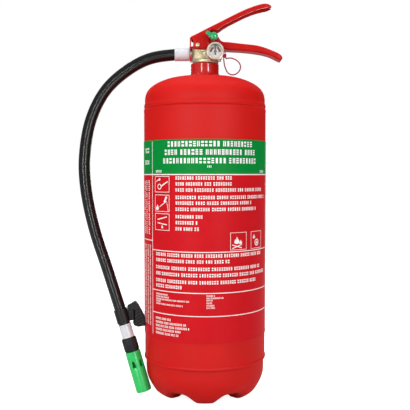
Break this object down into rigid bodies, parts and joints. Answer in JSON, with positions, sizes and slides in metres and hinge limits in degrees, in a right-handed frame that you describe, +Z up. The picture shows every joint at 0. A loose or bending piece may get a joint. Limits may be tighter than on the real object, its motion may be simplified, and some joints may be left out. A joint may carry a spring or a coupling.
{
  "type": "portable fire extinguisher",
  "caption": "Upright red pressure vessel on pressed feet with a squeeze valve, carry handle, pressure gauge, safety pin and a hanging hose with a foam nozzle.",
  "frame": {"origin": "on the vessel's axis at the floor, under the feet", "axes": "+Z up along the vessel's axis; +X from the hose towards the free ends of the carry handle and the squeeze lever; +Y to the back, away from the gauge"},
  "size_m": [0.2672, 0.1612, 0.5112],
  "materials": {
    "red_paint": "glossy powder coat",
    "label": "printed film",
    "plated_brass": "nickel-plated forging",
    "brass": "turned",
    "steel": "turned, plated",
    "hose_rubber": "fine-ribbed cover",
    "rubber": "smooth",
    "black_plastic": "moulded",
    "green_plastic": "moulded",
    "seal_plastic": "moulded",
    "dial_enamel": "printed",
    "lens": "clear",
    "tube_plastic": "extruded"
  },
  "bodies": {
    "vessel": {"cylinder_shell": "red_paint", "top_dome": "red_paint", "neck_collar": "red_paint", "base_dish": "red_paint", "label_wrap": "label", "valve_body": "plated_brass", "neck_o_ring": "rubber", "spring_retainer": "brass", "dip_tube": "tube_plastic", "stem_spring": "steel", "carry_handle": "red_paint", "handle_screw": "steel", "lever_pivot_rivet": "plated_brass", "seal_lock": "seal_plastic", "seal_loop": "seal_plastic", "seal_tail": "seal_plastic", "gauge_case": "steel", "gauge_bourdon_tube": "brass", "gauge_dial": "dial_enamel", "gauge_pivot": "brass", "gauge_lens": "lens", "gauge_bezel": "steel", "hose_bracket": "black_plastic"},
    "lever": {"squeeze_lever": "red_paint"},
    "stem": {"valve_stem": "steel", "stem_poppet": "brass", "poppet_seal": "rubber", "stem_o_ring": "rubber"},
    "safety_pin": {"safety_pin_rod": "steel", "safety_pin_head": "green_plastic"},
    "gauge_pointer": {"gauge_needle": "green_plastic"},
    "hose_line": {"hose_insert_upper": "steel", "hose_ferrule_upper": "steel", "hose": "hose_rubber", "hose_clip_ring": "black_plastic", "hose_ferrule_lower": "steel", "hose_insert_lower": "brass", "nozzle_collar": "black_plastic", "nozzle": "green_plastic", "nozzle_jet": "brass"}
  },
  "joints": [
    {"name": "squeeze_lever_hinge", "type": "hinge", "parent": "vessel", "child": "lever", "pos_m": [-0.0095, 0, 0.4577], "axis": [0, 1, 0], "range_deg": [0, 20], "stiffness_Nm_per_rad": 3, "springref_deg": -6.88},
    {"name": "stem_slide", "type": "slide", "parent": "vessel", "child": "stem", "axis": [0, 0, -1], "range_m": [0, 0.00345], "deforming": ["stem_spring"]},
    {"name": "safety_pin_slide", "type": "slide", "parent": "vessel", "child": "safety_pin", "axis": [0, -1, 0], "range_m": [0, 0.045]},
    {"name": "gauge_needle_hinge", "type": "hinge", "parent": "vessel", "child": "gauge_pointer", "pos_m": [0.0134, 0, 0.4473], "axis": [0, 1, 0], "range_deg": [-55, 55], "stiffness_Nm_per_rad": 0.00002},
    {"name": "hose_swing", "type": "hinge", "parent": "vessel", "child": "hose_line", "pos_m": [-0.02, 0, 0.447], "axis": [-1, 0, 0], "range_deg": [0, 95]}
  ],
  "couplings": [
    {"joint": "stem_slide", "follows": "squeeze_lever_hinge", "m_per_rad": 0.0098}
  ]
}
